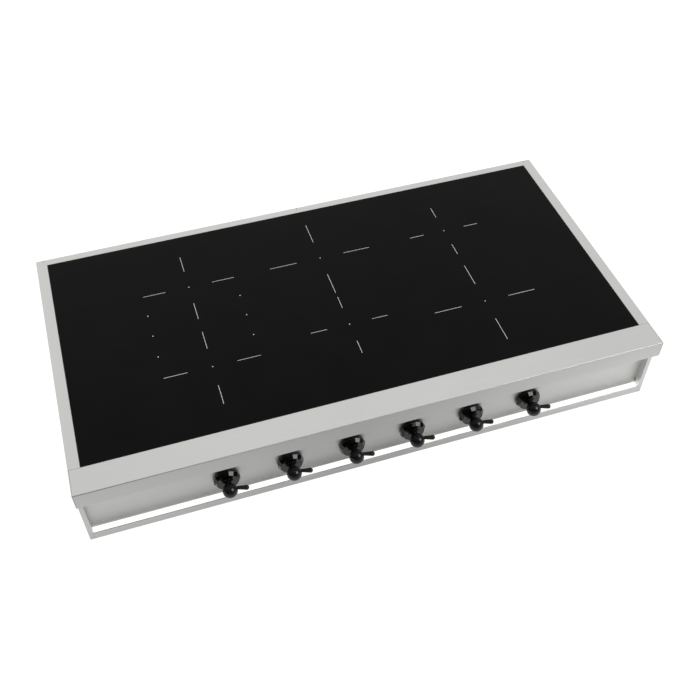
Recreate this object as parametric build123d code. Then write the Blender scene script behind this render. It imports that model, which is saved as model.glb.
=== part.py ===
from build123d import *
import os
from math import acos, cos, degrees, radians, sin, tan

# Built-in induction cooktop with a deep front ledge, a recessed control panel and six lever knobs.
# Millimetres. X runs left to right, Y from front to back, Z up from the surface that the feet stand on.

# Overall size
overall_width = 1200.0
overall_depth = 643.5
overall_height = 176.4

# Sheet metal
sheet = 1.5
case_sheet = 1.2
bend_radius = 1.8
hem_height = 10.0
side_trim = 22.6
back_trim = 17.0
ledge_depth = 59.7
ledge_height = 40.0
seam = 0.2

# Posts at the ends of the control panel, and the folded strip between them
post_width = 9.3
post_thickness = 7.6
post_setback = 16.7
bar_height = 19.6
bar_edge = 0.5

# Control panel
panel_setback = 33.4
panel_bottom = 16.5

# Glass
glass_thickness = 4.0
glass_joint = 1.2
glass_bed = 1.0
glass_corner = 3.0
glass_edge = 0.4
joint_below_top = 0.3
flange_width = 12.0

# Knobs
knob_count = 6
knob_pitch = 129.0
knob_row_offset = 2.1
knob_axis_height = 65.7
ball_radius = 15.0
ball_ahead_of_panel = 34.0
lever_length = 38.4
lever_lean = 15.0
lever_behind_ball = 6.2
lever_root_radius = 3.4
lever_tip_radius = 5.0
lever_seat_depth = 0.6
lever_seat_clearance = 0.4
lever_stud_radius = 2.5
lever_stud_length = 5.0
rosette_sides = 16
rosette_base_radius = 26.1
rosette_waist_radius = 27.1
rosette_front_radius = 22.2
rosette_waist = 7.6
rosette_height = 15.0
rosette_boss_radius = 12.5
rosette_boss_height = 1.6
rosette_hollow_radius = 13.0
rosette_hollow_depth = 11.0
neck_radius = 6.0
neck_clearance = 0.5
neck_inside_rosette = 2.0
ball_bore_end = 4.0
spindle_radius = 3.0
spindle_depth = 24.0
running_gap = 0.05
bushing_radius = 5.0
bushing_reach = 8.0
switch_half_width = 21.0
switch_depth = 30.0
switch_nut_radius = 9.0
switch_nut_height = 3.0

# Cooking zones: column spacing, row positions behind the ledge's front, and winding radii
zone_pattern_offset = 3.6
zone_column_pitch = 296.6
zone_winding_radii = ((99.0, 99.0), (82.0, 114.0), (115.0, 83.0))
zone_rows = ((223.3, 461.0), (249.3, 461.6), (224.1, 461.5))
carrier_hole_radius = 16.0
winding_margin = 3.0
winding_inner_radius = 19.0
ferrite_count = 8
ferrite_width = 15.0
ferrite_start = 24.0
ferrite_margin = 8.0
sensor_stem_radius = 4.0
sensor_head_radius = 7.0
sensor_head_height = 2.0

# Tray that carries the coils
tray_half_width = 565.0
tray_front_gap = 18.0
tray_back_gap = 24.0
tray_post_xs = (-520.0, -155.0, 155.0, 520.0)
tray_post_radius = 6.0
tray_post_bore = 3.0
tray_post_front_gap = 30.0
tray_post_back_gap = 40.0

# Cooling fans
fan_size = 119.0
fan_height = 25.0
fan_rotor_radius = 55.0
fan_hub_radius = 19.0
fan_tip_gap = 2.5
fan_blades = 7
fan_positions = (-330.0, 330.0)
fan_row = 520.0
fan_corner = 6.0
fan_strut_count = 3
fan_strut_width = 6.0
fan_strut_height = 2.5
fan_pin_radius = 2.0
fan_pin_height = 18.0
fan_blade_pitch = 38.0
fan_blade_chord = 22.0
fan_blade_thickness = 1.8
fan_slot_count = 9
fan_slot_pitch = 11.0
fan_slot_width = 6.0

# Upright vent slots in the back panel
vent_groups = (-360.0, -60.0, 240.0)
vent_count = 16
vent_pitch = 12.0
vent_size = (5.0, 46.0)
vent_height = 100.0

# Holes for a backguard, and the cable gland in the pan
backguard_pitch = 584.0
backguard_hole_radius = 1.3
backguard_from_back = 3.6
backguard_nut_width = 8.0
backguard_nut_depth = 6.0
backguard_nut_height = 4.0
gland_x = 480.0
gland_from_back = 60.0
gland_bore_radius = 6.5
gland_barrel_radius = 10.0
gland_flange_radius = 13.0
gland_flange_height = 4.0
gland_barrel_height = 12.0
gland_collar_width = 24.0
gland_collar_height = 6.0

# Levelling feet: half their spacing across, and their rows behind the ledge's front
foot_half_spacing = 540.0
foot_rows = (100.0, 604.0)
stud_radius = 5.0
stud_span = (8.0, 34.0)
foot_collar_width = 17.0
foot_collar_height = 6.0
pad_radius = 20.0
pad_edge = 1.2

# Circuit boards and what stands on them
board_z = 30.0
board_thickness = 1.6
board_size = (330.0, 200.0)
board_xs = (-376.0, 0.0, 376.0)
board_row = 210.0
standoff_radius = 3.5
standoff_half_spacing = (155.0, 90.0)
heatsink_half_width = 40.0
heatsink_half_length = 85.0
heatsink_base = 8.0
heatsink_height = 42.0
heatsink_fin_count = 9
heatsink_fin_pitch = 9.5
heatsink_fin = 2.0
component_count = 3
component_pitch = 55.0
choke_offset = -115.0
choke_size = (40.0, 32.0, 34.0)
capacitor_offset = 90.0
capacitor_radius = 17.0
capacitor_height = 30.0
control_board_half_width = 380.0
control_board_gap = 34.0
control_board_span = (24.0, 108.0)
filter_board_row = 400.0
filter_board_half_width = 60.0
filter_choke_offset = 25.0
filter_choke_radius = 22.0
filter_choke_bore = 10.0
filter_choke_top = 56.0
filter_capacitor_offset = -30.0
filter_capacitor_size = (30.0, 50.0, 32.4)
terminal_offset = (66.0, -8.0)
terminal_size = (90.0, 26.0, 26.0)
terminal_count = 5
terminal_pitch = 16.0
terminal_hole_radius = 4.0
terminal_hole_depth = 14.0

# Derived places
half_width = overall_width / 2
top_z = overall_height
knob_reach = ball_ahead_of_panel + ball_radius - panel_setback
front_y = (knob_reach - overall_depth) / 2
back_y = front_y + overall_depth
ledge_back_y = front_y + ledge_depth
opening_half = half_width - side_trim
opening_back_y = back_y - back_trim
deck_under_z = top_z - sheet
ledge_bottom_z = top_z - ledge_height
post_front_y = front_y + post_setback
post_back_y = post_front_y + post_thickness
post_inner_x = half_width - post_width
panel_y = front_y + panel_setback
panel_back_y = panel_y + sheet
panel_top_z = 150.0
cap_inner_x = half_width - case_sheet
wall_outer_x = half_width - sheet
wall_inner_x = wall_outer_x - case_sheet
back_wall_y = back_y - case_sheet
pan_top_z = panel_bottom + case_sheet
glass_bottom_z = top_z - glass_thickness
flange_top_z = glass_bottom_z - glass_bed
flange_bottom_z = flange_top_z - sheet
ball_y = panel_y - ball_ahead_of_panel
backguard_y = back_y - backguard_from_back
gland_y = back_y - gland_from_back
board_y = front_y + board_row
board_top_z = board_z + board_thickness
tray_top_z = 149.5
tray_bottom_z = tray_top_z - sheet
carrier_top_z = 157.0
ferrite_top_z = 162.0
winding_top_z = 168.5


def block(x_span, y_span, z_span):
    spans = (x_span, y_span, z_span)
    sizes = [high - low for low, high in spans]
    centre = [(low + high) / 2 for low, high in spans]
    return Pos(*centre) * Box(*sizes)


def block_on(x, y, z_low, size):
    # A block centred on x and y that stands on z_low
    return Pos(x, y, z_low + size[2] / 2) * Box(*size)


def rod_y(x, z, radius, y_low, y_high):
    return Pos(x, (y_low + y_high) / 2, z) * Rot(90, 0, 0) * Cylinder(radius, y_high - y_low)


def rod_z(x, y, radius, z_low, z_high):
    return Pos(x, y, (z_low + z_high) / 2) * Cylinder(radius, z_high - z_low)


def ring_z(x, y, outer, inner, z_low, z_high):
    return rod_z(x, y, outer, z_low, z_high) - rod_z(x, y, inner, z_low - 1, z_high + 1)


def hex_z(x, y, across_flats, z_low, z_high):
    hexagon = RegularPolygon(across_flats / 2, 6, major_radius=False)
    return Pos(x, y, z_low) * extrude(hexagon, amount=z_high - z_low)


def group(solids):
    return Compound(children=solids)


def mirrored(side, x_low, x_high):
    return (x_low, x_high) if side > 0 else (-x_high, -x_low)


foot_places = [(side * foot_half_spacing, front_y + row) for side in (-1, 1) for row in foot_rows]
knob_xs = [knob_row_offset + (i - (knob_count - 1) / 2) * knob_pitch for i in range(knob_count)]
zone_xs = [zone_pattern_offset + (i - 1) * zone_column_pitch for i in range(3)]


def zones():
    # Centre and winding radius of each of the six zones
    places = []
    for x, rows, radii in zip(zone_xs, zone_rows, zone_winding_radii):
        for row, radius in zip(rows, radii):
            places.append((x, front_y + row, radius))
    return places


# ---- Deck -------------------------------------------------------------------------------------

def glass_panel():
    x = opening_half - glass_joint
    y_span = (ledge_back_y + glass_joint, opening_back_y - glass_joint)
    plate = block((-x, x), y_span, (glass_bottom_z, top_z))
    plate = fillet(plate.edges().filter_by(Axis.Z), glass_corner)
    return chamfer(plate.faces().sort_by(Axis.Z)[-1].edges(), glass_edge)


def glass_seal():
    # An upright joint round the plate, and the bed below its edge
    glass_x = opening_half - glass_joint
    glass_front = ledge_back_y + glass_joint
    glass_back = opening_back_y - glass_joint
    joint_z = (flange_top_z, top_z - joint_below_top)
    joint = block((-opening_half, opening_half), (ledge_back_y, opening_back_y), joint_z)
    plate = block((-glass_x, glass_x), (glass_front, glass_back), (glass_bottom_z, top_z))
    plate = fillet(plate.edges().filter_by(Axis.Z), glass_corner)
    inner_x = glass_x - flange_width + glass_joint
    inside = block(
        (-inner_x, inner_x),
        (ledge_back_y + flange_width, opening_back_y - flange_width),
        (flange_top_z - 1, top_z),
    )
    return joint - plate - inside


def deck_frame():
    # Side and back trims, hemmed at the sides and stepped down inside to carry the glass
    trims = block((-half_width, half_width), (ledge_back_y, back_y), (deck_under_z, top_z))
    hem_z = (top_z - hem_height, deck_under_z)
    side_hems = [block(mirrored(s, wall_outer_x, half_width), (ledge_back_y, back_y), hem_z) for s in (-1, 1)]
    step_x = opening_half + sheet
    step = block((-step_x, step_x), (ledge_back_y, opening_back_y + sheet), (flange_bottom_z, deck_under_z))
    frame = trims + side_hems[0] + side_hems[1] + step
    opening_y = (ledge_back_y - 1, opening_back_y)
    opening = block((-opening_half, opening_half), opening_y, (flange_top_z, top_z + 1))
    inner_x = opening_half - flange_width
    inside = block((-inner_x, inner_x), (ledge_back_y - 1, opening_back_y - flange_width), (0, top_z))
    frame = frame - opening - inside
    for i in (-1, 0, 1):
        frame = frame - rod_z(i * backguard_pitch, backguard_y, backguard_hole_radius, 0, top_z + 1)
    return frame


def ledge_outline(x_low, x_high, inset):
    # The ledge as a full block with rounded front edges, inset on its top, front and underside
    body = block(
        (x_low, x_high),
        (front_y + inset, ledge_back_y - seam),
        (ledge_bottom_z + inset, top_z - inset),
    )
    front_edges = body.edges().filter_by(Axis.X).sort_by(Axis.Y)[:2]
    return fillet(front_edges, bend_radius - inset)


def front_ledge():
    skin = ledge_outline(-cap_inner_x + seam, cap_inner_x - seam, 0)
    hollow = ledge_outline(-half_width, half_width, sheet)
    behind = block((-half_width, half_width), (ledge_back_y - 1, ledge_back_y), (0, deck_under_z))
    below = block((-half_width, half_width), (panel_y - seam, ledge_back_y), (0, ledge_bottom_z + 2 * sheet))
    ledge = skin - hollow - behind - below
    step_y = (ledge_back_y - seam - sheet, ledge_back_y - seam)
    step = block((-opening_half, opening_half), step_y, (flange_bottom_z, deck_under_z))
    flange_x = opening_half - flange_width - seam
    flange_y = (ledge_back_y - seam, ledge_back_y + flange_width)
    flange = block((-flange_x, flange_x), flange_y, (flange_bottom_z, flange_top_z))
    return ledge + step + flange


def ledge_caps():
    return group([ledge_outline(*mirrored(side, cap_inner_x, half_width), 0) for side in (-1, 1)])


# ---- Front frame and control panel ----------------------------------------------------------------

def post(side):
    span = mirrored(side, post_inner_x, half_width)
    bar = block(span, (post_front_y, post_back_y), (0, ledge_bottom_z))
    return chamfer(bar.faces().sort_by(Axis.Y)[0].edges().filter_by(Axis.Z), bar_edge)


def bottom_bar():
    # A strip on edge between the posts, with a lip turned back along its foot
    x = post_inner_x - seam / 2
    bar = block((-x, x), (post_front_y, post_back_y), (0, bar_height))
    bar = chamfer(bar.faces().sort_by(Axis.Y)[0].edges().filter_by(Axis.X), bar_edge)
    return bar - block((-x, x), (post_front_y + sheet, post_back_y), (sheet, bar_height))


def control_panel():
    x = post_inner_x + sheet
    plate = block((-x, x), (panel_y, panel_back_y), (panel_bottom, panel_top_z))
    for knob_x in knob_xs:
        plate = plate - rod_y(knob_x, knob_axis_height, bushing_radius + 0.2, panel_y - 1, panel_back_y + 1)
    return plate


def recess_cheeks():
    # Side walls of the recess, between the posts and the control panel
    cheeks = []
    for side in (-1, 1):
        span = mirrored(side, post_inner_x, post_inner_x + sheet)
        cheeks.append(block(span, (post_back_y, panel_y), (panel_bottom, ledge_bottom_z)))
    return group(cheeks)


# ---- Case -----------------------------------------------------------------------------------------

def side_panel(side):
    span = mirrored(side, wall_inner_x, wall_outer_x)
    rear = block(span, (panel_y, back_wall_y), (panel_bottom, deck_under_z))
    front = block(span, (post_back_y, panel_y), (panel_bottom, ledge_bottom_z))
    return rear + front


def slot_row(x_centre):
    # Cutters for one group of upright slots through the back panel
    width, length = vent_size
    outline = SlotOverall(length, width, rotation=90)
    cuts = []
    for i in range(vent_count):
        x = x_centre + (i - (vent_count - 1) / 2) * vent_pitch
        cutter = extrude(outline, 2 * case_sheet, both=True)
        cuts.append(Pos(x, back_wall_y, vent_height) * Rot(90, 0, 0) * cutter)
    return cuts


def back_panel():
    plate = block((-wall_inner_x, wall_inner_x), (back_wall_y, back_y), (panel_bottom, deck_under_z))
    cuts = []
    for x in vent_groups:
        cuts += slot_row(x)
    return plate - cuts


def bottom_pan():
    plate = block((-wall_inner_x, wall_inner_x), (panel_back_y, back_wall_y), (panel_bottom, pan_top_z))
    fan_y = front_y + fan_row
    cuts = []
    for x in fan_positions:
        for i in range(fan_slot_count):
            offset = (i - (fan_slot_count - 1) / 2) * fan_slot_pitch
            chord = 2 * (fan_rotor_radius**2 - offset**2) ** 0.5
            slot = extrude(SlotOverall(chord, fan_slot_width), 2 * case_sheet, both=True)
            cuts.append(Pos(x, fan_y + offset, panel_bottom) * slot)
    holes = [rod_z(x, y, stud_radius, 0, board_z) for x, y in foot_places]
    return plate - cuts - holes - rod_z(gland_x, gland_y, gland_barrel_radius, 0, board_z)


def levelling_feet():
    feet = []
    for x, y in foot_places:
        stud = rod_z(x, y, stud_radius, *stud_span)
        collar = hex_z(x, y, foot_collar_width, panel_bottom - foot_collar_height, panel_bottom)
        feet.append(stud + collar)
    return group(feet)


def foot_pads():
    pads = []
    for x, y in foot_places:
        pad = rod_z(x, y, pad_radius, 0, stud_span[0])
        pads.append(fillet(pad.edges(), pad_edge))
    return group(pads)


def backguard_nuts():
    # Clinch nuts under the back trim, one at each hole
    nuts = []
    for i in (-1, 0, 1):
        x = i * backguard_pitch
        size = (backguard_nut_width, backguard_nut_depth, backguard_nut_height)
        nut = block_on(x, back_wall_y - backguard_nut_depth / 2, deck_under_z - backguard_nut_height, size)
        nuts.append(nut - rod_z(x, backguard_y, backguard_hole_radius, 0, top_z))
    return group(nuts)


def cable_gland():
    # A flanged nylon gland through the pan, with a hexagon collar above it
    barrel_top = pan_top_z + gland_barrel_height
    flange = rod_z(gland_x, gland_y, gland_flange_radius, panel_bottom - gland_flange_height, panel_bottom)
    barrel = rod_z(gland_x, gland_y, gland_barrel_radius, panel_bottom, barrel_top)
    collar = hex_z(gland_x, gland_y, gland_collar_width, pan_top_z, pan_top_z + gland_collar_height)
    return flange + barrel + collar - rod_z(gland_x, gland_y, gland_bore_radius, 0, barrel_top + 1)


# ---- Knobs ----------------------------------------------------------------------------------------

def knob_rosette(x):
    # Faceted escutcheon: a slightly flared band, a cone of facets, and a low round boss at its front.
    # One facet faces straight up.
    rings = (
        (rosette_base_radius, 0.0),
        (rosette_waist_radius, rosette_waist),
        (rosette_front_radius, rosette_height),
    )
    face = Plane(origin=(x, panel_y, knob_axis_height), x_dir=(1, 0, 0), z_dir=(0, -1, 0))
    stages = []
    for (radius, height), (next_radius, next_height) in zip(rings, rings[1:]):
        low = RegularPolygon(radius, rosette_sides, rotation=180 / rosette_sides)
        high = RegularPolygon(next_radius, rosette_sides, rotation=180 / rosette_sides)
        stages.append(loft([face.offset(height) * low, face.offset(next_height) * high], ruled=True))
    boss_back = panel_y - rosette_height
    boss = rod_y(x, knob_axis_height, rosette_boss_radius, boss_back - rosette_boss_height, boss_back)
    hollow_front = panel_y - rosette_hollow_depth
    hollow = rod_y(x, knob_axis_height, rosette_hollow_radius, hollow_front, panel_y + 1)
    hole = rod_y(x, knob_axis_height, neck_radius + neck_clearance, panel_y - 2 * rosette_height, panel_y + 1)
    return stages[0] + stages[1] + boss - hollow - hole


def knob_ball(x):
    # Ball with its neck, bored for the spindle, and a flat where the lever screws in
    neck_end = ball_y - panel_y + rosette_height - neck_inside_rosette
    join_angle = degrees(acos(neck_radius / ball_radius))
    join = (neck_radius, -neck_radius * tan(radians(join_angle)))
    arc = CenterArc((0, 0), ball_radius, 90, -90 - join_angle)
    corners = Polyline(
        join,
        (neck_radius, neck_end),
        (spindle_radius, neck_end),
        (spindle_radius, ball_bore_end),
        (0, ball_bore_end),
        (0, ball_radius),
    )
    centre = (x, ball_y, knob_axis_height)
    section_plane = Plane(origin=centre, x_dir=(-1, 0, 0), z_dir=(0, 0, 1))
    ball = revolve(section_plane * make_face([arc, corners]), Axis(centre, (0, -1, 0)))
    seat = lever_peg(x, lever_start(), lever_root_radius + lever_seat_clearance)
    return ball - seat - lever_peg(x, lever_start() - lever_stud_length, lever_stud_radius)


def lever_peg(x, start, radius):
    # A cylinder along the lever's axis, for the cuts that receive it
    length = lever_length - start
    return lever_plane(x).offset(start + length / 2) * Cylinder(radius, length)


def lever_plane(x):
    lean = radians(lever_lean)
    root = (x, ball_y + lever_behind_ball, knob_axis_height)
    return Plane(origin=root, x_dir=(0, 0, 1), z_dir=(cos(lean), -sin(lean), 0))


def lever_start():
    # Distance along the lever at which it leaves the ball
    along = lever_behind_ball * sin(radians(lever_lean))
    across = lever_behind_ball * cos(radians(lever_lean))
    return along + (ball_radius**2 - across**2) ** 0.5 - lever_seat_depth


def knob_lever(x):
    # Tapered grip with a round end, and a threaded stud that holds it in the ball
    start = lever_start()
    centre = lever_length - lever_tip_radius
    stud_start = start - lever_stud_length
    outline = Polyline(
        (0, stud_start),
        (lever_stud_radius, stud_start),
        (lever_stud_radius, start),
        (lever_root_radius, start),
        (lever_tip_radius, centre),
    )
    tip = CenterArc((0, centre), lever_tip_radius, 0, 90)
    axis_line = Line((0, lever_length), (0, stud_start))
    section = make_face(Curve() + [outline, tip, axis_line])
    grip = revolve(section, Axis.Y)
    return lever_plane(x) * Rot(90, 0, 0) * grip


def knob_spindle(x):
    # From the bottom of the ball's bore into the switch
    return rod_y(x, knob_axis_height, spindle_radius, ball_y - ball_bore_end, panel_back_y + spindle_depth)


def rotary_switches():
    # Body behind the panel, and a bushing that passes through it
    switches = []
    for x in knob_xs:
        z = knob_axis_height
        body_size = (2 * switch_half_width, switch_depth, 2 * switch_half_width)
        body = block_on(x, panel_back_y + switch_depth / 2, z - switch_half_width, body_size)
        bushing = rod_y(x, z, bushing_radius, panel_y - bushing_reach, panel_back_y)
        bore_front = panel_y - bushing_reach - 1
        bore = rod_y(x, z, spindle_radius + running_gap, bore_front, panel_back_y + spindle_depth + 1)
        switches.append(body + bushing - bore)
    return group(switches)


def switch_nuts():
    nuts = []
    for x in knob_xs:
        hexagon = extrude(RegularPolygon(switch_nut_radius, 6), switch_nut_height)
        nut = Pos(x, panel_y, knob_axis_height) * Rot(90, 0, 0) * hexagon
        nuts.append(nut - rod_y(x, knob_axis_height, bushing_radius, panel_y - bushing_reach, panel_y + 1))
    return group(nuts)


# ---- Coils ----------------------------------------------------------------------------------------

def coil_tray():
    y_span = (ledge_back_y + tray_front_gap, back_wall_y - tray_back_gap)
    return block((-tray_half_width, tray_half_width), y_span, (tray_bottom_z, tray_top_z))


def tray_posts():
    posts = []
    for x in tray_post_xs:
        for y in (ledge_back_y + tray_post_front_gap, back_wall_y - tray_post_back_gap):
            posts.append(ring_z(x, y, tray_post_radius, tray_post_bore, pan_top_z, tray_bottom_z))
    return group(posts)


def coil_carriers():
    rings = []
    for x, y, radius in zones():
        rings.append(ring_z(x, y, radius, carrier_hole_radius, tray_top_z, carrier_top_z))
    return group(rings)


def ferrite_bars():
    bars = []
    for x, y, radius in zones():
        y_span = (-ferrite_width / 2, ferrite_width / 2)
        for i in range(ferrite_count):
            bar = block((ferrite_start, radius - ferrite_margin), y_span, (carrier_top_z, ferrite_top_z))
            bars.append(Pos(x, y, 0) * Rot(0, 0, (i + 0.5) * 360.0 / ferrite_count) * bar)
    return group(bars)


def coil_windings():
    rings = []
    for x, y, radius in zones():
        outer = radius - winding_margin
        rings.append(ring_z(x, y, outer, winding_inner_radius, ferrite_top_z, winding_top_z))
    return group(rings)


def temperature_sensors():
    # Spring-loaded sensor pin in the middle of each winding, touching the glass
    pins = []
    for x, y, _ in zones():
        head_z = glass_bottom_z - sensor_head_height
        stem = rod_z(x, y, sensor_stem_radius, tray_top_z, head_z)
        head = rod_z(x, y, sensor_head_radius, head_z, glass_bottom_z)
        pins.append(stem + head)
    return group(pins)


# ---- Electronics and cooling ------------------------------------------------------------------------

def inverter_boards():
    size = (*board_size, board_thickness)
    return group([block_on(x, board_y, board_z, size) for x in board_xs])


def board_standoffs():
    pillars = []
    half_x, half_y = standoff_half_spacing
    for x in board_xs:
        for dx in (-half_x, half_x):
            for dy in (-half_y, half_y):
                pillars.append(rod_z(x + dx, board_y + dy, standoff_radius, pan_top_z, board_z))
    return group(pillars)


def heatsinks():
    # Extrusions with upright fins along Y, one at each board
    sinks = []
    length = 2 * heatsink_half_length
    for x in board_xs:
        sink = block_on(x, board_y, board_top_z, (2 * heatsink_half_width, length, heatsink_base))
        for i in range(heatsink_fin_count):
            fin_x = x + (i - (heatsink_fin_count - 1) / 2) * heatsink_fin_pitch
            sink = sink + block_on(fin_x, board_y, board_top_z, (heatsink_fin, length, heatsink_height))
        sinks.append(sink)
    return group(sinks)


def power_components():
    # Capacitors and chokes on both sides of each heatsink
    components = []
    for x in board_xs:
        for i in range(component_count):
            y = board_y + (i - (component_count - 1) / 2) * component_pitch
            components.append(block_on(x + choke_offset, y, board_top_z, choke_size))
            can_top = board_top_z + capacitor_height
            components.append(rod_z(x + capacitor_offset, y, capacitor_radius, board_top_z, can_top))
    return group(components)


def control_board():
    # Stands on edge behind the switches
    x = control_board_half_width
    y_low = panel_back_y + control_board_gap
    return block((-x, x), (y_low, y_low + board_thickness), control_board_span)


def filter_board():
    # Mains filter board with a ring choke and a block capacitor
    x = gland_x
    y = front_y + filter_board_row
    width = 2 * filter_board_half_width
    base = block_on(x, y, board_z, (width, width, board_thickness))
    choke_x = x + filter_choke_offset
    choke = ring_z(choke_x, y, filter_choke_radius, filter_choke_bore, board_top_z, filter_choke_top)
    capacitor = block_on(x + filter_capacitor_offset, y, board_top_z, filter_capacitor_size)
    return base + choke + capacitor


def terminal_block():
    # Five screw terminals in a row, beside the gland
    x = gland_x + terminal_offset[0]
    y = gland_y + terminal_offset[1]
    body = block_on(x, y, pan_top_z, terminal_size)
    top = pan_top_z + terminal_size[2]
    for i in range(terminal_count):
        hole_x = x + (i - (terminal_count - 1) / 2) * terminal_pitch
        body = body - rod_z(hole_x, y, terminal_hole_radius, top - terminal_hole_depth, top + 1)
    return body


def fan_frame(x):
    # Square frame on the pan, with a round air way, three struts and a bearing pin at its centre
    y = front_y + fan_row
    frame = block_on(x, y, pan_top_z, (fan_size, fan_size, fan_height))
    frame = fillet(frame.edges().filter_by(Axis.Z), fan_corner)
    frame = frame - rod_z(x, y, fan_rotor_radius + fan_tip_gap, 0, top_z)
    strut_z = (pan_top_z, pan_top_z + fan_strut_height)
    struts = rod_z(x, y, fan_hub_radius, *strut_z)
    for i in range(fan_strut_count):
        reach = (0, fan_rotor_radius + fan_tip_gap + 0.5)
        arm = block(reach, (-fan_strut_width / 2, fan_strut_width / 2), strut_z)
        struts = struts + Pos(x, y, 0) * Rot(0, 0, (i + 0.25) * 360.0 / fan_strut_count) * arm
    pin = rod_z(x, y, fan_pin_radius, pan_top_z, pan_top_z + fan_pin_height)
    return frame + struts + pin


def fan_rotor(x):
    # Hub and seven pitched blades, turning on the frame's pin
    y = front_y + fan_row
    z_low = pan_top_z + fan_strut_height + 1
    z_high = pan_top_z + fan_height - 1.5
    bore = rod_z(x, y, fan_pin_radius + running_gap, 0, pan_top_z + fan_pin_height + 1)
    rotor = rod_z(x, y, fan_hub_radius, z_low, z_high) - bore
    half_chord = fan_blade_chord / 2
    half_thickness = fan_blade_thickness / 2
    for i in range(fan_blades):
        blade_span = (fan_hub_radius - 1.5, fan_rotor_radius)
        blade = block(blade_span, (-half_chord, half_chord), (-half_thickness, half_thickness))
        pitched = Pos(0, 0, (z_low + z_high) / 2) * Rot(fan_blade_pitch, 0, 0) * blade
        rotor = rotor + Pos(x, y, 0) * Rot(0, 0, 360.0 / fan_blades * i) * pitched
    return rotor


# ---- All nodes ----------------------------------------------------------------------------------------

def all_parts():
    parts = {
        "glass_panel": glass_panel(),
        "glass_seal": glass_seal(),
        "deck_frame": deck_frame(),
        "front_ledge": front_ledge(),
        "ledge_caps": ledge_caps(),
        "post_left": post(-1),
        "post_right": post(1),
        "bottom_bar": bottom_bar(),
        "control_panel": control_panel(),
        "recess_cheeks": recess_cheeks(),
        "side_panel_left": side_panel(-1),
        "side_panel_right": side_panel(1),
        "back_panel": back_panel(),
        "bottom_pan": bottom_pan(),
        "levelling_feet": levelling_feet(),
        "foot_pads": foot_pads(),
        "backguard_nuts": backguard_nuts(),
        "cable_gland": cable_gland(),
        "rotary_switches": rotary_switches(),
        "switch_nuts": switch_nuts(),
        "coil_tray": coil_tray(),
        "tray_posts": tray_posts(),
        "coil_carriers": coil_carriers(),
        "ferrite_bars": ferrite_bars(),
        "coil_windings": coil_windings(),
        "temperature_sensors": temperature_sensors(),
        "inverter_boards": inverter_boards(),
        "board_standoffs": board_standoffs(),
        "heatsinks": heatsinks(),
        "power_components": power_components(),
        "control_board": control_board(),
        "filter_board": filter_board(),
        "terminal_block": terminal_block(),
    }
    for number, x in enumerate(knob_xs, start=1):
        parts[f"knob_rosette_{number}"] = knob_rosette(x)
        parts[f"knob_ball_{number}"] = knob_ball(x)
        parts[f"knob_lever_{number}"] = knob_lever(x)
        parts[f"knob_spindle_{number}"] = knob_spindle(x)
    parts["fan_frames"] = group([fan_frame(x) for x in fan_positions])
    parts["fan_rotor_left"] = fan_rotor(fan_positions[0])
    parts["fan_rotor_right"] = fan_rotor(fan_positions[1])
    return parts


os.makedirs("parts", exist_ok=True)
for name, shape in all_parts().items():
    export_step(shape, f"parts/{name}.step")
    print(name, round(shape.volume / 1000.0, 2), "cm3")
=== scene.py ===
import math
import bmesh
import bpy
from mathutils import Matrix, Vector


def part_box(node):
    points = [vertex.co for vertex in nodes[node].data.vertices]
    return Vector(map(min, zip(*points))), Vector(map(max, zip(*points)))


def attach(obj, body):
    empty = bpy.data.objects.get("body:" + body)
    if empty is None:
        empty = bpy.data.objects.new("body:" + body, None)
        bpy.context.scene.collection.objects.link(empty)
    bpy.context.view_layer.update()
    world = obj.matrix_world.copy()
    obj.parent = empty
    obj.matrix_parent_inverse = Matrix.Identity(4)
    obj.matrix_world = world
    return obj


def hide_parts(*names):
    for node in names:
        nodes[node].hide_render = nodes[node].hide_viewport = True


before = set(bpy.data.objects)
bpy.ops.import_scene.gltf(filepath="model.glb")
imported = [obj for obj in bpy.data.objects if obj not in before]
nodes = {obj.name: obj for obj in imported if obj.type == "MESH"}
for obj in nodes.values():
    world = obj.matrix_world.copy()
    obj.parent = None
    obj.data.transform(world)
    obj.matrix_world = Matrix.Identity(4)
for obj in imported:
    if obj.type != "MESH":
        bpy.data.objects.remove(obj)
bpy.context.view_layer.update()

mm = 0.001
print("frame loaded:", len(nodes), "nodes")


# Colours and nodes

def toLinear(hexText):
    # sRGB hex to the linear colour that shaders take
    parts = [int(hexText[i:i + 2], 16) / 255 for i in (0, 2, 4)]
    linear = [p / 12.92 if p <= 0.04045 else ((p + 0.055) / 1.055) ** 2.4 for p in parts]
    return (*linear, 1.0)


def addNode(tree, kind, settings=None, links=None):
    # settings are properties, input values or ramp stops; links are inputs fed by (node, output)
    node = tree.nodes.new(kind)
    for key, value in (settings or {}).items():
        if key == "stops":
            ramp = node.color_ramp
            while len(ramp.elements) < len(value):
                ramp.elements.new(0.5)
            for element, (position, colour) in zip(ramp.elements, value):
                element.position = position
                element.color = colour
        elif isinstance(key, str) and hasattr(node, key):
            setattr(node, key, value)
        else:
            node.inputs[key].default_value = value
    for key, (source, output) in (links or {}).items():
        tree.links.new(source.outputs[output], node.inputs[key])
    return node


def newMaterial(name):
    # An empty material, its tree, and the object coordinates that its patterns read
    material = bpy.data.materials.new(name)
    material.use_nodes = True
    tree = material.node_tree
    tree.nodes.clear()
    return material, tree, addNode(tree, "ShaderNodeTexCoord")


def between(low, high, start=0.35, end=0.65):
    # Ramp stops that run from one colour to another
    return ((start, low), (end, high))


def grey(value):
    return (value, value, value, 1.0)


# Metals

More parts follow.
